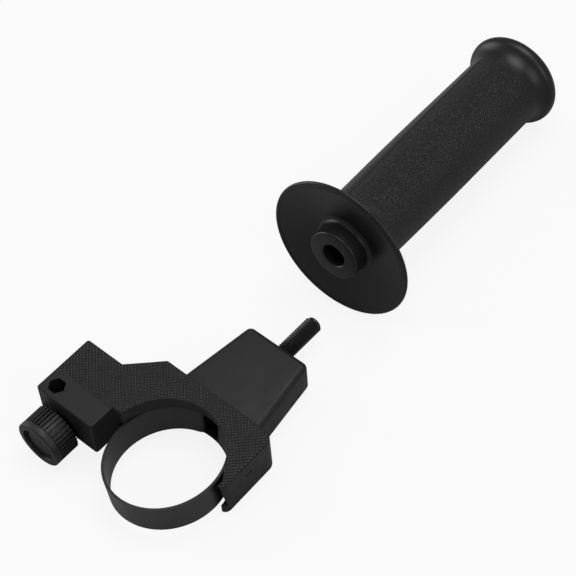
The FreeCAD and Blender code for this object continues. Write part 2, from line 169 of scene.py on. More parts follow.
class Finishes(PropertyGroup):
    carrier: FloatVectorProperty(
        name="Clamp body", subtype="COLOR", default=(0.0085, 0.0085, 0.0090),
        description="Moulded clamp body")
    strap: FloatVectorProperty(
        name="Strap", subtype="COLOR", default=(0.012, 0.012, 0.0125),
        description="Coated steel strap")
    stud: FloatVectorProperty(
        name="Stud", subtype="COLOR", default=(0.006, 0.006, 0.006),
        description="Blackened steel")
    knob: FloatVectorProperty(
        name="Knob", subtype="COLOR", default=(0.0110, 0.0110, 0.0115),
        description="Moulded knob")
    grip: FloatVectorProperty(
        name="Grip", subtype="COLOR", default=(0.0075, 0.0075, 0.0080),
        description="Moulded handle")
    brass: FloatVectorProperty(
        name="Insert", subtype="COLOR", default=(0.62, 0.47, 0.22),
        description="Brass insert")


# Mesh helpers, all in millimetres until place() takes a mesh to the object's metres

def even_angles(count):
    """The same lengthwise edges at every place along a turned piece."""
    angles = [2 * math.pi * i / count for i in range(count)]
    return lambda s: angles


def lathe(bm, profile, angles_at):
    """Surface of revolution round +Y over (s, r) points; a radius of zero closes it."""
    rings = []
    for s, r in profile:
        angles = angles_at(s)
        count = len(angles)
        if r == 0:
            rings.append([bm.verts.new((0, s, 0))])
        else:
            rings.append([bm.verts.new((r * math.sin(a), s, r * math.cos(a))) for a in angles])
    for a, b in zip(rings, rings[1:]):
        for i in range(count):
            j = (i + 1) % count
            if len(a) == 1:
                bm.faces.new((a[0], b[i], b[j]))
            elif len(b) == 1:
                bm.faces.new((a[j], a[i], b[0]))
            else:
                bm.faces.new((a[j], a[i], b[i], b[j]))


def smooth_path(points, count):
    """Points of a natural curve through (s, r) points, by Catmull-Rom."""
    padded = [points[0]] + points + [points[-1]]
    result = []
    for p0, p1, p2, p3 in zip(padded, padded[1:], padded[2:], padded[3:]):
        for k in range(count):
            t = k / count
            result.append(tuple(0.5 * (2 * b + (c - a) * t + (2 * a - 5 * b + 4 * c - d) * t * t
                                       + (3 * b - a - 3 * c + d) * t ** 3)
                                for a, b, c, d in zip(p0, p1, p2, p3)))
    return result + [points[-1]]


def round_corner(before, corner, after, radius, steps=6):
    """Arc that replaces a corner of a profile."""
    a = (Vector(before) - Vector(corner)).normalized()
    b = (Vector(after) - Vector(corner)).normalized()
    half = a.angle(b) / 2
    reach = radius / math.tan(half)
    centre = Vector(corner) + (a + b).normalized() * (radius / math.sin(half))
    start = Vector(corner) + a * reach - centre
    end = Vector(corner) + b * reach - centre
    sweep = start.angle_signed(end)
    return [tuple(centre + Matrix.Rotation(-sweep * k / steps, 2) @ start) for k in range(steps + 1)]


def place(name, bm, matrix, body, material, replaced=(), sharp=32.0):
    """Turn a finished bmesh into a piece that rides on a body."""
    mesh = bpy.data.meshes.new(name)
    bmesh.ops.remove_doubles(bm, verts=bm.verts, dist=0.0005)
    bm.normal_update()
    bm.to_mesh(mesh)
    bm.free()
    mesh.transform(matrix @ Matrix.Scale(MM, 4))
    return dress(name, mesh, body, material, replaced, sharp)


def dress(name, mesh, body, material, replaced=(), sharp=32.0):
    mesh.polygons.foreach_set("use_smooth", [True] * len(mesh.polygons))
    mesh.set_sharp_from_angle(angle=math.radians(sharp))
    mesh.materials.clear()
    mesh.materials.append(material)
    piece = bpy.data.objects.new(name, mesh)
    bpy.context.scene.collection.objects.link(piece)
    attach(piece, body)
    if replaced:
        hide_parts(*replaced)
    return piece


def node_copy(node):
    """A CAD node's mesh, in millimetres, with its loose triangles joined and its flat faces made whole."""
    bm = bmesh.new()
    bm.from_mesh(frame["nodes"][node].data)
    bmesh.ops.scale(bm, vec=(1 / MM,) * 3, verts=bm.verts)
    bmesh.ops.remove_doubles(bm, verts=bm.verts, dist=0.002)
    bmesh.ops.dissolve_limit(bm, angle_limit=math.radians(0.5), verts=bm.verts, edges=bm.edges)
    return bm


# Material helpers

def add(tree, kind, inputs=None, **settings):
    """New shader or geometry node, with its inputs set to values or linked from sockets."""
    node = tree.nodes.new(kind)
    for key, value in settings.items():
        setattr(node, key, value)
    for key, value in (inputs or {}).items():
        if isinstance(value, bpy.types.NodeSocket):
            tree.links.new(value, node.inputs[key])
        else:
            node.inputs[key].default_value = value
    return node


def maths(tree, operation, *values):
    return add(tree, "ShaderNodeMath", dict(enumerate(values)), operation=operation).outputs[0]


def surface(name, colour, roughness, specular=0.5, metallic=0.0):
    """Material with one Principled shader; returns it with its tree and shader."""
    material = bpy.data.materials.new(name)
    material.use_nodes = True
    tree = material.node_tree
    shader = tree.nodes["Principled BSDF"]
    shader.inputs["Base Color"].default_value = (*colour, 1)
    shader.inputs["Roughness"].default_value = roughness
    shader.inputs["Specular IOR Level"].default_value = specular
    shader.inputs["Metallic"].default_value = metallic
    return material, tree, shader


def object_coordinates(tree):
    return add(tree, "ShaderNodeTexCoord").outputs["Object"]


def tone(tree, shader, colour, where, scale, share):
    """Slow change of lightness over a surface."""
    cloud = add(tree, "ShaderNodeTexNoise", {"Vector": where, "Scale": scale, "Detail": 3.0})
    low = [c * (1 - share) for c in colour]
    high = [c * (1 + share) for c in colour]
    mix = add(tree, "ShaderNodeMix", {"Factor": cloud.outputs["Fac"]}, data_type="RGBA")
    mix.inputs["A"].default_value = (*low, 1)
    mix.inputs["B"].default_value = (*high, 1)
    tree.links.new(mix.outputs["Result"], shader.inputs["Base Color"])


def vary_roughness(tree, shader, where, scale, low, high):
    cloud = add(tree, "ShaderNodeTexNoise", {"Vector": where, "Scale": scale, "Detail": 4.0})
    spread = add(tree, "ShaderNodeMapRange", {"Value": cloud.outputs["Fac"], "From Min": 0.3, "From Max": 0.7,
                                              "To Min": low, "To Max": high})
    tree.links.new(spread.outputs["Result"], shader.inputs["Roughness"])


def bump(tree, shader, height, distance, strength=1.0):
    """Adds a height, on top of any bump that the shader has."""
    node = add(tree, "ShaderNodeBump", {"Height": height, "Distance": distance, "Strength": strength})
    old = shader.inputs["Normal"].links
    if old:
        tree.links.new(old[0].from_socket, node.inputs["Normal"])
    tree.links.new(node.outputs["Normal"], shader.inputs["Normal"])


def spark_texture(tree, where, scale):
    """Fine spark-eroded mould texture."""
    noise = add(tree, "ShaderNodeTexNoise", {"Vector": where, "Scale": scale,
                                             "Detail": 2.0, "Roughness": 0.6})
    return noise.outputs["Fac"]


HATCH_PITCH = 0.00135
PLATE_FRONT = 0.0112
HATCH_START = 0.0002
HATCH_SLOPE = 0.036
HATCH_GROOVE = 0.2
# Share of the colour left at the bottom of the hatch's grooves: painted shade in the grooves
HATCH_PAINTED_SHADE = 0.45
GRAIN_SCALE = 1100.0


def hatched_plastic(colour):
    """Clamp body's plastic: spark texture, and cross-hatch on the front plate past its smooth end, whose
    grooves are darkened with painted shade.
    """
    material, tree, shader = surface("hatched_plastic", colour, 0.5, 0.25)
    where = object_coordinates(tree)
    unrolled = add(tree, "ShaderNodeMapping", {"Vector": where, "Rotation": (0, -clamp_roll(), 0)})
    level = unrolled.outputs["Vector"]
    vary_roughness(tree, shader, where, 140.0, 0.44, 0.56)
    turned = add(tree, "ShaderNodeMapping", {"Vector": level, "Rotation": (0, 0, math.radians(45))})
    parts = add(tree, "ShaderNodeSeparateXYZ", {"Vector": turned.outputs["Vector"]})
    grooves = []
    for axis in ("X", "Y"):
        wave = maths(tree, "PINGPONG", parts.outputs[axis], HATCH_PITCH / 2)
        groove = add(tree, "ShaderNodeMapRange", {"Value": wave, "From Max": HATCH_PITCH * HATCH_GROOVE})
        grooves.append(groove.outputs["Result"])
    ridges = maths(tree, "MINIMUM", *grooves)
    plan = add(tree, "ShaderNodeSeparateXYZ", {"Vector": level})
    front = maths(tree, "GREATER_THAN", plan.outputs["Z"], PLATE_FRONT)
    slant = maths(tree, "MULTIPLY_ADD", plan.outputs["X"], HATCH_SLOPE, plan.outputs["Y"])
    above = maths(tree, "GREATER_THAN", slant, HATCH_START)
    blank = maths(tree, "SUBTRACT", 1.0, maths(tree, "MULTIPLY", front, above))
    height = maths(tree, "MAXIMUM", ridges, blank)
    # Painted shade: the hatch's grooves take a darker colour than the plastic, as the shade that falls in
    # them
    mix = add(tree, "ShaderNodeMix", {"Factor": height}, data_type="RGBA")
    mix.inputs["A"].default_value = (*[c * HATCH_PAINTED_SHADE for c in colour], 1)
    mix.inputs["B"].default_value = (*colour, 1)
    tree.links.new(mix.outputs["Result"], shader.inputs["Base Color"])
    bump(tree, shader, spark_texture(tree, where, 2200.0), 0.00003)
    bump(tree, shader, height, 0.00022)
    return material


def grained_plastic(colour):
    """Handle's plastic: leather grain where the grain attribute is set, and a soft gloss elsewhere."""
    material, tree, shader = surface("grained_plastic", colour, 0.4, 0.28)
    where = object_coordinates(tree)
    grain = add(tree, "ShaderNodeAttribute", attribute_name="grain").outputs["Fac"]
    rough = add(tree, "ShaderNodeMapRange", {"Value": grain, "To Min": 0.38, "To Max": 0.46})
    tree.links.new(rough.outputs["Result"], shader.inputs["Roughness"])
    cells = add(tree, "ShaderNodeTexVoronoi", {"Vector": where, "Scale": GRAIN_SCALE, "Randomness": 1.0},
                feature="DISTANCE_TO_EDGE")
    domes = add(tree, "ShaderNodeMapRange", {"Value": cells.outputs["Distance"], "From Max": 0.3})
    pebbles = domes.outputs["Result"]
    bump(tree, shader, spark_texture(tree, where, 1500.0), 0.000012)
    bump(tree, shader, maths(tree, "MULTIPLY", pebbles, grain), 0.00020)
    return material


def satin_plastic(name, colour, roughness):
    material, tree, shader = surface(name, colour, roughness, 0.3)
    where = object_coordinates(tree)
    vary_roughness(tree, shader, where, 300.0, roughness - 0.05, roughness + 0.06)
    bump(tree, shader, spark_texture(tree, where, 2400.0), 0.00002)
    return material


def coated_steel(colour):
    """Strap's black coating over rolled steel, with faint marks along the strip."""
    material, tree, shader = surface("coated_steel", colour, 0.36, 0.5)
    where = object_coordinates(tree)
    vary_roughness(tree, shader, where, 220.0, 0.32, 0.42)
    stretched = add(tree, "ShaderNodeMapping", {"Vector": where, "Scale": (60.0, 60.0, 2500.0)})
    marks = add(tree, "ShaderNodeTexNoise", {"Vector": stretched.outputs["Vector"],
                                             "Scale": 1.0, "Detail": 2.0})
    bump(tree, shader, marks.outputs["Fac"], 0.00001)
    return material


def blackened_steel(colour):
    material, tree, shader = surface("blackened_steel", colour, 0.4, 0.4)
    where = object_coordinates(tree)
    tone(tree, shader, colour, where, 300.0, 0.25)
    vary_roughness(tree, shader, where, 500.0, 0.32, 0.52)
    return material


def turned_brass(colour):
    material, tree, shader = surface("turned_brass", colour, 0.3, 0.5, 1.0)
    where = object_coordinates(tree)
    tone(tree, shader, colour, where, 300.0, 0.10)
    return material


# Geometry Nodes helpers

def geometry_tree(name, floats):
    """New tree with an empty input mesh, named lengths and a material."""
    tree = bpy.data.node_groups.new(name, "GeometryNodeTree")
    tree.interface.new_socket("Geometry", in_out="INPUT", socket_type="NodeSocketGeometry")
    for key in floats:
        tree.interface.new_socket(key, in_out="INPUT", socket_type="NodeSocketFloat")
    tree.interface.new_socket("Material", in_out="INPUT", socket_type="NodeSocketMaterial")
    tree.interface.new_socket("Geometry", in_out="OUTPUT", socket_type="NodeSocketGeometry")
    return tree, tree.nodes.new("NodeGroupInput")


def grow(tree, geometry, given, values, material):
    """Finish a tree with Realize Instances and Set Material, run it, and return the plain mesh."""
    real = add(tree, "GeometryNodeRealizeInstances", {"Geometry": geometry})
    painted = add(tree, "GeometryNodeSetMaterial", {"Geometry": real.outputs["Geometry"],
                                                    "Material": given.outputs["Material"]})
    tree.links.new(painted.outputs["Geometry"], tree.nodes.new("NodeGroupOutput").inputs[0])
    holder = bpy.data.objects.new(tree.name, bpy.data.meshes.new(tree.name))
    bpy.context.scene.collection.objects.link(holder)
    modifier = holder.modifiers.new(tree.name, "NODES")
    modifier.node_group = tree
    for item in tree.interface.items_tree:
        if item.in_out == "INPUT" and item.name in values:
            modifier[item.identifier] = values[item.name]
        if item.in_out == "INPUT" and item.name == "Material":
            modifier[item.identifier] = material
    graph = bpy.context.evaluated_depsgraph_get()
    mesh = bpy.data.meshes.new_from_object(holder.evaluated_get(graph))
    holder.modifiers.clear()
    bpy.data.objects.remove(holder)
    return mesh


# Operators

TOWER_START = 34.5
TOWER_END = 70.8
TOWER_FILL = (0.6, 0.7, 0.4)
TOWER_CORE = 6
TOWER_HALF = 7
SHOULDER = (30.3, 34.0)
SHOULDER_ROUND = 4.6
SHOULDER_CUTS = (0, 0.3, 0.55, 0.75, 0.9)
ROD_HOLE_SHIFT = (-0.9, -0.3)
ROD_HOLE_REACH = 4.6
BACK_LIP = 28.0
BACK_LIP_NEAR = 0.15
BACK_LIP_TOP = -4
BACK_LIP_HALF = 16
BACK_LIP_FADE = 6
BACK_LIP_DROP = 2.5
BODY_LEFT = 0.4
ARM_LONGER = 0.5
ARM_THICKER = 0.4
LEG_WIDER = 0.3
TOP_HIGHER = 0.3

# Where each of these changes begins and where it is full, in mm from the stud's axis or the collar's

ARM_END = (44, 56)
ARM_ROOT = (28, 40)
ARM_UNDERSIDE = (4, 8)
LEG_SIDE = (26, 29)
LEG_BELOW_PLATE = (-30, -20)
LEG_FOOT = (-8, -2)
ABOVE_COLLAR = (24, 34)
TOP_EDGE = (14, 20)


class SIDEHANDLE_OT_clamp_body(Operator):
    """Dress the moulded clamp body"""
    bl_idname = "sidehandle.clamp_body"
    bl_label = "Clamp body"

    def execute(self, context):
        finish = context.scene.side_handle_finishes
        bm = node_copy("clamp_carrier")
        roll = Matrix.Rotation(clamp_roll(), 3, "Y")
        bmesh.ops.rotate(bm, verts=bm.verts, matrix=roll.inverted())
        fill_tower(bm)
        round_shoulder(bm)
        shift_rod_hole(bm)
        lower_back_lip(bm)
        stretch_ends(bm)
        bmesh.ops.rotate(bm, verts=bm.verts, matrix=roll)
        plastic = hatched_plastic(finish.carrier)
        place("clamp_body", bm, Matrix(), "carrier", plastic, ("clamp_carrier",), 25.0)
        return {"FINISHED"}


def fill_tower(bm):
    """Move the tower's faces out a little, so that its rounded edges reach the real outline."""
    for vert in bm.verts:
        x, y, z = vert.co
        if y > TOWER_START and math.hypot(x, z) > TOWER_CORE:
            share = (y - TOWER_START) / (TOWER_END - TOWER_START)
            out = [math.copysign(min(abs(a) / TOWER_HALF, 1), a) for a in (x, z)]
            vert.co += Vector((TOWER_FILL[0] * out[0], TOWER_FILL[1] * share, TOWER_FILL[2] * out[1]))


def round_shoulder(bm):
    """Widen the rounding of the plate's outer corner beside the short leg."""
    middle = [a - SHOULDER_ROUND for a in SHOULDER]
    for axis in (0, 1):
        normal = Vector((axis == 0, axis == 1, 0))
        for step in SHOULDER_CUTS:
            place_on_axis = normal * (middle[axis] + SHOULDER_ROUND * step)
            everything = bm.verts[:] + bm.edges[:] + bm.faces[:]
            bmesh.ops.bisect_plane(bm, geom=everything, plane_co=place_on_axis, plane_no=normal)
    for vert in bm.verts:
        out = Vector((vert.co.x - middle[0], vert.co.y - middle[1], 0))
        if min(out.x, out.y) >= 0 and vert.co.y < TOWER_START and out.length > SHOULDER_ROUND:
            vert.co -= out - out.normalized() * SHOULDER_ROUND


def shift_rod_hole(bm):
    """Set the hexagonal hole a little nearer the arm's corner, as in the photo."""
    x, y, z = mount("rod_hole")["pos_m"]
    middle = Matrix.Rotation(-clamp_roll(), 3, "Y") @ Vector((x, y, z)) / MM
    for vert in bm.verts:
        if math.hypot(vert.co.x - middle.x, vert.co.y - middle.y) < ROD_HOLE_REACH:
            vert.co += Vector((*ROD_HOLE_SHIFT, 0))


def stretch_ends(bm):
    """Bring the tower, the arm and the short leg out to their real outlines."""
    for vert in bm.verts:
        x, y, z = vert.co
        arm = smooth_share(-x, *ARM_END)
        leg = smooth_share(x, *LEG_SIDE) * smooth_share(-y, *LEG_BELOW_PLATE)
        above = smooth_share(y, *ABOVE_COLLAR)
        vert.co.x += LEG_WIDER * leg - ARM_LONGER * arm - BODY_LEFT * above * (1 - leg)
        vert.co.y += TOP_HIGHER * smooth_share(y, *TOP_EDGE) - LEG_WIDER * leg * smooth_share(-y, *LEG_FOOT)
        vert.co.z -= ARM_THICKER * smooth_share(-x, *ARM_ROOT) * smooth_share(-z, *ARM_UNDERSIDE)


def lower_back_lip(bm):
    """Bring the back wall's edge down over the gap between the strap's folded ends."""
    for vert in bm.verts:
        radius = math.hypot(vert.co.x, vert.co.y)
        if abs(radius - BACK_LIP) < BACK_LIP_NEAR and vert.co.z < BACK_LIP_TOP and vert.co.y > 0:
            share = min(max((BACK_LIP_HALF - abs(vert.co.x)) / BACK_LIP_FADE, 0), 1)
            vert.co.y -= BACK_LIP_DROP * share * share * (3 - 2 * share)


class SIDEHANDLE_OT_strap(Operator):
    """Dress the steel strap and its cross pin"""
    bl_idname = "sidehandle.strap"
    bl_label = "Strap"

    def execute(self, context):
        finish = context.scene.side_handle_finishes
        bm = node_copy("strap_band")
        lean_strap(bm)
        for vert in bm.verts:
            vert.co.z *= STRAP_WIDEN
            vert.co.x += STRAP_LEFT_SHIFT * smooth_share(-vert.co.x, *STRAP_LEFT_SPAN)
        coat = coated_steel(finish.strap)
        place("strap", bm, Matrix(), "strap", coat, ("strap_band",), 40.0)
        steel = blackened_steel(finish.stud)
        for node in ("strap_pin", "lock_screw", "handle_insert"):
            paint_node(node, steel)
        paint_node("lock_insert", turned_brass(finish.brass))
        return {"FINISHED"}


STRAP_SWELL = 2.6
STRAP_SWELL_ANGLE = math.radians(25)
STRAP_FOLD_FADE = (27.0, 36.0)
STRAP_WIDEN = 1.04
STRAP_LEFT_SHIFT = 0.35
STRAP_LEFT_SPAN = (5, 25)


def smooth_share(value, low, high):
    """Rise smoothly from 0 at the low value to 1 at the high one."""
    share = min(max((value - low) / (high - low), 0), 1)
    return share * share * (3 - 2 * share)


def lean_strap(bm):
    """Draw the back edge of the swollen upper half in to the true circle, as the twisted strap lies."""
    collar = mount("collar")["dims"]
    half = collar["length_mm"] / 2
    swollen = collar["r_mm"] + STRAP_SWELL
    for vert in bm.verts:
        out = Vector((vert.co.x, vert.co.y, 0))
        along = out.normalized()
        side = math.copysign(math.cos(STRAP_SWELL_ANGLE), -along.x)
        centre = STRAP_SWELL * Vector((side, math.sin(STRAP_SWELL_ANGLE), 0))
        if along.y < -math.sin(STRAP_SWELL_ANGLE):
            continue
        reach = along.dot(centre) + math.sqrt(along.dot(centre) ** 2 - centre.length_squared + swollen ** 2)
        low, high = STRAP_FOLD_FADE
        fade = min(max((high - vert.co.y) / (high - low), 0), 1)
        vert.co -= along * (reach - collar["r_mm"]) * fade * (half - vert.co.z) / (2 * half)


def paint_node(node, material):
    slots = frame["nodes"][node].data.materials
    slots.clear()
    slots.append(material)


class SIDEHANDLE_OT_stud(Operator):
    """Make the threaded stud with its flat tongue"""
    bl_idname = "sidehandle.stud"
    bl_label = "Stud"

    def execute(self, context):
        sizes = context.scene.side_handle_stud
        steel = blackened_steel(context.scene.side_handle_finishes.stud)
        free = mount("stud")
        crest = free["dims"]["r_mm"]
        core = crest - sizes.depth
        start = free["pos_m"][1] / MM - free["dims"]["length_mm"] / 2
        low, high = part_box("clamp_bolt")
        foot, tip = low.y / MM, high.y / MM
        bm = bmesh.new()
        tongue(bm, foot, (high.x - low.x) / MM, (high.z - low.z) / MM)
        neck = start - sizes.run_in
        root = foot + TONGUE_LENGTH - TONGUE_OVERLAP
        lathe(bm, [(root, 0), (root, crest), (neck - STUD_RUN_OUT, crest), (neck, core),
                   (tip - TIP_CHAMFER, core), (tip, core - TIP_CHAMFER), (tip, 0)], even_angles(48))
        ridge = thread_ridge(core, (tip - sizes.depth - THREAD_STOP - neck) / sizes.pitch, sizes, steel)
        ridge.transform(Matrix.Translation((0, neck, 0)) @ Matrix.Rotation(-math.pi / 2, 4, "X"))
        bm.from_mesh(ridge)
        bpy.data.meshes.remove(ridge)
        place("stud", bm, Matrix(), "strap", steel, ("clamp_bolt",), 35.0)
        return {"FINISHED"}


TONGUE_LENGTH = 11.0
TONGUE_CORNER = 2.0
TONGUE_OVERLAP = 2
STUD_RUN_OUT = 0.8
TIP_CHAMFER = 0.35
THREAD_STOP = 0.3


def tongue(bm, foot, thick, height):
    """Flat end of the stud between the strap's folded ends."""
    size = Matrix.Diagonal((thick, TONGUE_LENGTH, height, 1))
    middle = Matrix.Translation((0, foot + TONGUE_LENGTH / 2, 0))
    made = bmesh.ops.create_cube(bm, size=1, matrix=middle @ size)
    corners = {edge for vert in made["verts"] for edge in vert.link_edges
               if abs(edge.verts[0].co.x - edge.verts[1].co.x) > thick / 2}
    bmesh.ops.bevel(bm, geom=list(corners), offset=TONGUE_CORNER, segments=4, profile=0.5, affect="EDGES")


def thread_ridge(core, turns, sizes, material):
    """V-shaped ridge that winds round the stud's core."""
    tree, given = geometry_tree("stud_thread", ("Radius", "Pitch", "Turns", "Depth"))
    length = maths(tree, "MULTIPLY", given.outputs["Pitch"], given.outputs["Turns"])
    spiral = add(tree, "GeometryNodeCurveSpiral", {"Resolution": 40, "Rotations": given.outputs["Turns"],
                                                   "Start Radius": given.outputs["Radius"],
                                                   "End Radius": given.outputs["Radius"], "Height": length})
    upright = add(tree, "GeometryNodeSetCurveNormal", {"Curve": spiral.outputs[0]}, mode="Z_UP")
    outline = add(tree, "GeometryNodeCurvePrimitiveCircle", {"Resolution": 4,
                                                             "Radius": given.outputs["Depth"]})
    swept = add(tree, "GeometryNodeCurveToMesh", {"Curve": upright.outputs[0],
                                                  "Profile Curve": outline.outputs[0], "Fill Caps": True})
    return grow(tree, swept.outputs[0], given,
                {"Radius": core, "Pitch": sizes.pitch, "Turns": turns, "Depth": sizes.depth}, material)


KNOB_TRIM = 0.4
KNOB_NEARER = 0.7
KNOB_COLLAR = 3.4
KNOB_FOOT = 0.8
KNOB_BORE = 3.1
KNOB_FOOT_RADIUS = 7.2
RIB_SHARE = 0.42
FACE_RAISED = 0.6


class SIDEHANDLE_OT_knob(Operator):
    """Make the ribbed lock knob"""
    bl_idname = "sidehandle.knob"
    bl_label = "Lock knob"

    def execute(self, context):
        sizes = context.scene.side_handle_knob
        plastic = satin_plastic("knob_plastic", context.scene.side_handle_finishes.knob, 0.5)
        low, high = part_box("lock_knob")
        length = (high.y - low.y) / MM - KNOB_TRIM
        collar = length - KNOB_COLLAR
        sunk, floor = sizes.recess_radius, length - sizes.recess_depth
        root, outer = sizes.root_radius, sizes.collar_radius
        disc = floor + FACE_RAISED
        profile = [(0, KNOB_BORE), (0, KNOB_FOOT_RADIUS), (KNOB_FOOT, KNOB_FOOT_RADIUS), (KNOB_FOOT, root),
                   (collar - 0.1, root), (collar, outer - 0.4), (collar + 0.4, outer)]
        profile += round_corner((collar, outer), (length, outer), (length, 0), 0.8)
        profile += round_corner((length, outer), (length, sunk), (floor, sunk - 0.2), 0.3, 4)
        profile += [(floor, sunk - 0.2), (floor, sunk - 1.8)]
        profile += round_corner((floor, sunk - 1.9), (disc, sunk - 2.0), (disc, 0), 0.25, 3)
        profile += [(disc, 0)]
        bm = bmesh.new()
        lathe(bm, profile, even_angles(144))
        tree, given = geometry_tree("knob_ribs", ("Radius", "Length", "Height", "Width", "Count"))
        ring = add(tree, "GeometryNodeMeshCircle", {"Radius": given.outputs["Radius"],
                                                    "Vertices": given.outputs["Count"]})
        bar_size = add(tree, "ShaderNodeCombineXYZ", {"X": given.outputs["Width"],
                                                      "Y": given.outputs["Height"],
                                                      "Z": given.outputs["Length"]})
        bar = add(tree, "GeometryNodeMeshCube", {"Size": bar_size.outputs[0]})
        position = add(tree, "GeometryNodeInputPosition").outputs[0]
        aim = add(tree, "FunctionNodeAlignEulerToVector", {"Vector": position}, axis="Y")
        ribs = add(tree, "GeometryNodeInstanceOnPoints", {"Points": ring.outputs[0],
                                                          "Instance": bar.outputs[0],
                                                          "Rotation": aim.outputs[0]})
        pitch = 2 * math.pi * root / sizes.ribs
        span = collar - KNOB_FOOT
        mesh = grow(tree, ribs.outputs[0], given,
                    {"Radius": root, "Length": span, "Height": sizes.rib_height * 2,
                     "Width": pitch * RIB_SHARE, "Count": float(sizes.ribs)}, plastic)
        middle = Matrix.Translation((0, KNOB_FOOT + span / 2, 0))
        mesh.transform(middle @ Matrix.Rotation(-math.pi / 2, 4, "X"))
        bm.from_mesh(mesh)
        bpy.data.meshes.remove(mesh)
        nearer = Matrix.Translation((0, -KNOB_NEARER * MM, 0))
        place("knob", bm, knob_matrix() @ nearer, "knob", plastic, ("lock_knob",), 35.0)
        return {"FINISHED"}


class SIDEHANDLE_OT_grip(Operator):
    """Make the moulded handle"""
    bl_idname = "sidehandle.grip"
    bl_label = "Handle"

    def execute(self, context):
        sizes = context.scene.side_handle_grip
        plastic = grained_plastic(context.scene.side_handle_finishes.grip)
        bm = bmesh.new()
        lathe(bm, grip_profile(sizes), lambda s: grip_columns(s, sizes))
        raise_ridges(bm, sizes)
        mark_grain(bm)
        place("handle", bm, handle_matrix(), "carrier", plastic, ("handle_grip",), 32.0)
        return {"FINISHED"}


BORE_DEPTH = 9.0
RIM_ROUND = 0.9
END_ROUND = 4.0
FLARE_SLOPE = 47.0
RIDGE_START, RIDGE_END = 16.5, 131.0
RIDGE_HALF_WIDTH = 0.35
INNER_RIDGE = (-19.0, -33.0)
OUTER_RIDGE = (-50.0, -56.0)
FLANGE_GROOVE = ((8, 0), (3.0, 0), (2.6, 0.02), (2.4, 0.16), (2.1, 0.16), (1.8, 0))


def arc_points(centre, radius, start, end, steps):
    """(s, r) points of an arc; its angles are in degrees from +s towards +r."""
    turns = [math.radians(start + (end - start) * i / steps) for i in range(steps + 1)]
    return [(centre[0] + radius * math.cos(t), centre[1] + radius * math.sin(t)) for t in turns]


def grip_profile(sizes):
    """(s, r) points of the handle from the bore's floor to the far end."""
    boss, flange, grip, bore = sizes.boss_radius, sizes.flange_radius, sizes.grip_radius, sizes.bore_radius
    rim = (sizes.rim_place, flange - RIM_ROUND)
    dish = sizes.boss_length
    points = [(BORE_DEPTH, 0), (BORE_DEPTH, bore), (0.4, bore), (0, bore + 0.4)]
    points += round_corner((0, bore), (0, boss), (dish, boss), 0.8, 5)
    points += round_corner((0, boss), (dish, boss), (rim[0] - RIM_ROUND, rim[1]), 2.4, 10)
    slope = (rim[0] - RIM_ROUND - dish) / (rim[1] - boss)
    points += [(dish + slope * (flange - inset - boss) + dip, flange - inset) for inset, dip in FLANGE_GROOVE]
    points += arc_points(rim, RIM_ROUND, 180, 0, 12)
    points += round_corner(points[-1], (12.5, grip - 0.6), (40, grip - 0.6), 4.0, 10)
    edge = (sizes.end_place, sizes.end_radius - END_ROUND)
    meet = arc_points(edge, END_ROUND, 90 + FLARE_SLOPE, 90 + FLARE_SLOPE, 1)[0]
    flare = (meet[1] - grip + 0.1) / (1 - math.cos(math.radians(FLARE_SLOPE)))
    flare_start = meet[0] - flare * math.sin(math.radians(FLARE_SLOPE))
    waist = [(22, grip - 0.5), (45, grip - 0.2), (70, grip), (100, grip - 0.05), (flare_start, grip - 0.1)]
    points += smooth_path(waist, 8)[:-1]
    points += arc_points((flare_start, grip - 0.1 + flare), flare, 270, 270 + FLARE_SLOPE, 12)[:-1]
    overhang = sizes.length - END_ROUND - sizes.end_place
    behind = (edge[1] ** 2 - overhang ** 2) / (2 * overhang)
    turn = math.degrees(math.atan2(edge[1], behind))
    points += arc_points(edge, END_ROUND, 90 + FLARE_SLOPE, turn, 18)
    points += arc_points((sizes.end_place - behind, 0), behind + overhang + END_ROUND, turn, 0, 8)[1:-1]
    return points + [(sizes.length, 0)]


def ridge_angles(s):
    """Places of the inner and outer ridge round the grip, in degrees from its top towards +X."""
    share = min(max((s - RIDGE_START) / (RIDGE_END - RIDGE_START), 0), 1)
    return [start + (end - start) * share for start, end in (INNER_RIDGE, OUTER_RIDGE)]


def grip_columns(s, sizes):
    """Angles of the lengthwise edges, of which three follow each ridge; the lower half repeats the upper."""
    inner, outer = ridge_angles(s)
    half = math.degrees(RIDGE_HALF_WIDTH / sizes.grip_radius)
    spans = ((outer + half, inner - half, sizes.columns // 4),
             (inner + half, outer + 180 - half, sizes.columns))
    angles = [outer]
    for low, high, count in spans:
        angles += [low + (high - low) * i / count for i in range(count + 1)]
        if len(angles) < sizes.columns // 2:
            angles.append(inner)
    return [math.radians(a + turn) for turn in (0, 180) for a in angles]


def ridge_distance(vert):
    """Degrees from the inner and the outer ridge, positive towards the grained part."""
    x, s, z = vert.co
    inner, outer = ridge_angles(s)
    angle = (math.degrees(math.atan2(x, z)) - (inner + outer) / 2 + 90) % 180 - 90 + (inner + outer) / 2
    return angle - inner, outer - angle


def raise_ridges(bm, sizes):
    for vert in bm.verts:
        x, s, z = vert.co
        radius = math.hypot(x, z)
        share = min(max((s - RIDGE_START) / 1.5, 0), max((RIDGE_END - s) / 1.5, 0), 1)
        if radius > 10 and min(abs(d) for d in ridge_distance(vert)) < 0.02:
            lift = 1 + sizes.ridge_height * share / radius
            vert.co = (x * lift, s, z * lift)


def mark_grain(bm):
    """Float attribute that is 1 on the grained part of the grip."""
    layer = bm.verts.layers.float.new("grain")
    for vert in bm.verts:
        x, s, z = vert.co
        edge = min(max((s - 17) / 3, 0), max((132 - s) / 4, 0), 1)
        on_band = max(ridge_distance(vert)) < 1.3
        vert[layer] = 0.0 if on_band or math.hypot(x, z) < 10 else edge


class SIDEHANDLE_OT_stage(Operator):
    """Set the pale floor, the soft lights and the camera"""
    bl_idname = "sidehandle.stage"
    bl_label = "Stage"

    def execute(self, context):
        scene = context.scene
        scene.view_settings.view_transform = "Standard"
        make_world(scene)
        make_floor()
        make_lights()
        make_camera(scene)
        return {"FINISHED"}


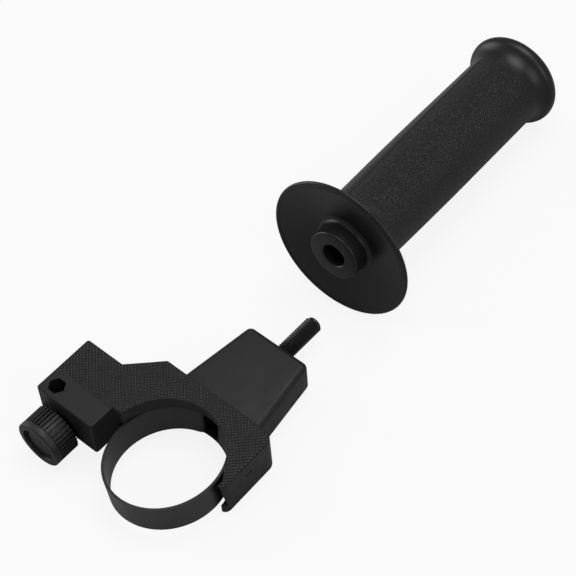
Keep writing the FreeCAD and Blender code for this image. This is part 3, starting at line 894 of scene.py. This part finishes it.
WORLD_LIGHT = 0.35
FLOOR_HALF = 3.0
FLOOR_GLOW = 1.08
FLOOR_GLOW_SHARE = 0.8
LAMP_AIM = (-0.01, 0.09, 0.0)
LAMPS = (
    ("key", (0.15, 0.35, 1.25), 0.9, 12.0),
    ("fill", (0.95, 0.1, 0.5), 0.6, 3.1),
    ("left", (-0.95, -0.2, 0.3), 0.6, 5.0),
)


def make_world(scene):
    world = bpy.data.worlds.new("studio")
    scene.world = world
    world.use_nodes = True
    tree = world.node_tree
    light = tree.nodes["Background"]
    light.inputs["Color"].default_value = (0.9, 0.9, 0.9, 1)
    light.inputs["Strength"].default_value = WORLD_LIGHT
    seen = add(tree, "ShaderNodeBackground", {"Color": (1, 1, 1, 1), "Strength": 1.0})
    path = add(tree, "ShaderNodeLightPath")
    mix = add(tree, "ShaderNodeMixShader", {0: path.outputs["Is Camera Ray"], 1: light.outputs[0],
                                            2: seen.outputs[0]})
    tree.links.new(mix.outputs[0], tree.nodes["World Output"].inputs["Surface"])


def make_floor():
    mesh = bpy.data.meshes.new("floor")
    signs = ((-1, -1), (1, -1), (1, 1), (-1, 1))
    corners = [(x * FLOOR_HALF, y * FLOOR_HALF, FLOOR) for x, y in signs]
    mesh.from_pydata(corners, [], [(0, 1, 2, 3)])
    material = bpy.data.materials.new("pale_floor")
    material.use_nodes = True
    tree = material.node_tree
    shader = tree.nodes["Principled BSDF"]
    shader.inputs["Base Color"].default_value = (0.4, 0.4, 0.4, 1)
    shader.inputs["Roughness"].default_value = 0.9
    shader.inputs["Specular IOR Level"].default_value = 0.1
    glow = add(tree, "ShaderNodeEmission", {"Color": (1, 1, 1, 1), "Strength": FLOOR_GLOW})
    path = add(tree, "ShaderNodeLightPath")
    share = maths(tree, "MULTIPLY", path.outputs["Is Camera Ray"], FLOOR_GLOW_SHARE)
    mix = add(tree, "ShaderNodeMixShader", {0: share, 1: shader.outputs[0], 2: glow.outputs[0]})
    tree.links.new(mix.outputs[0], tree.nodes["Material Output"].inputs["Surface"])
    mesh.materials.append(material)
    floor = bpy.data.objects.new("floor", mesh)
    bpy.context.scene.collection.objects.link(floor)


def make_lights():
    for lamp in LAMPS:
        soft_light(*lamp)


def soft_light(name, position, size, power):
    lamp = bpy.data.lights.new(name, "AREA")
    lamp.size = size
    lamp.energy = power
    holder = bpy.data.objects.new(name, lamp)
    holder.location = position
    aim = Vector(LAMP_AIM) - Vector(position)
    holder.rotation_euler = aim.to_track_quat("-Z", "Y").to_euler()
    bpy.context.scene.collection.objects.link(holder)


CAMERA_PLACE = (0.40946, -0.24936, 0.61233)
CAMERA_RIGHT = (0.74034, 0.65615, -0.14614)
CAMERA_UP = (-0.42301, 0.6237, 0.65731)
CAMERA_LENS = 117.374


def make_camera(scene):
    data = bpy.data.cameras.new("camera")
    data.lens = CAMERA_LENS
    data.sensor_width = 36.0
    camera = bpy.data.objects.new("camera", data)
    right = Vector(CAMERA_RIGHT).normalized()
    back = right.cross(Vector(CAMERA_UP)).normalized()
    up = back.cross(right)
    turn = Matrix((right, up, back)).transposed().to_4x4()
    camera.matrix_world = Matrix.Translation(CAMERA_PLACE) @ turn
    scene.collection.objects.link(camera)
    scene.camera = camera


class SIDEHANDLE_PT_panel(Panel):
    """Buttons and sizes of the side handle"""
    bl_idname = "SIDEHANDLE_PT_panel"
    bl_label = "Side handle"
    bl_space_type = "VIEW_3D"
    bl_region_type = "UI"
    bl_category = "Side Handle"

    def draw(self, context):
        for operator in OPERATORS:
            self.layout.operator(operator.bl_idname)
        for name in SETTINGS:
            group = getattr(context.scene, name)
            for key in group.__annotations__:
                self.layout.prop(group, key)


SETTINGS = {
    "side_handle_grip": GripSizes,
    "side_handle_knob": KnobSizes,
    "side_handle_stud": StudSizes,
    "side_handle_finishes": Finishes,
}
OPERATORS = (SIDEHANDLE_OT_clamp_body, SIDEHANDLE_OT_strap, SIDEHANDLE_OT_stud, SIDEHANDLE_OT_knob,
             SIDEHANDLE_OT_grip, SIDEHANDLE_OT_stage)
CLASSES = tuple(SETTINGS.values()) + OPERATORS + (SIDEHANDLE_PT_panel,)


def register():
    for item in CLASSES:
        bpy.utils.register_class(item)
    for name, group in SETTINGS.items():
        setattr(bpy.types.Scene, name, PointerProperty(type=group))


def unregister():
    for name in SETTINGS:
        delattr(bpy.types.Scene, name)
    for item in reversed(CLASSES):
        bpy.utils.unregister_class(item)


def main():
    register()
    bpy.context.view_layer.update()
    bpy.ops.sidehandle.clamp_body()
    bpy.ops.sidehandle.strap()
    bpy.ops.sidehandle.stud()
    bpy.ops.sidehandle.knob()
    bpy.ops.sidehandle.grip()
    bpy.ops.sidehandle.stage()


if __name__ == "__main__":
    main()
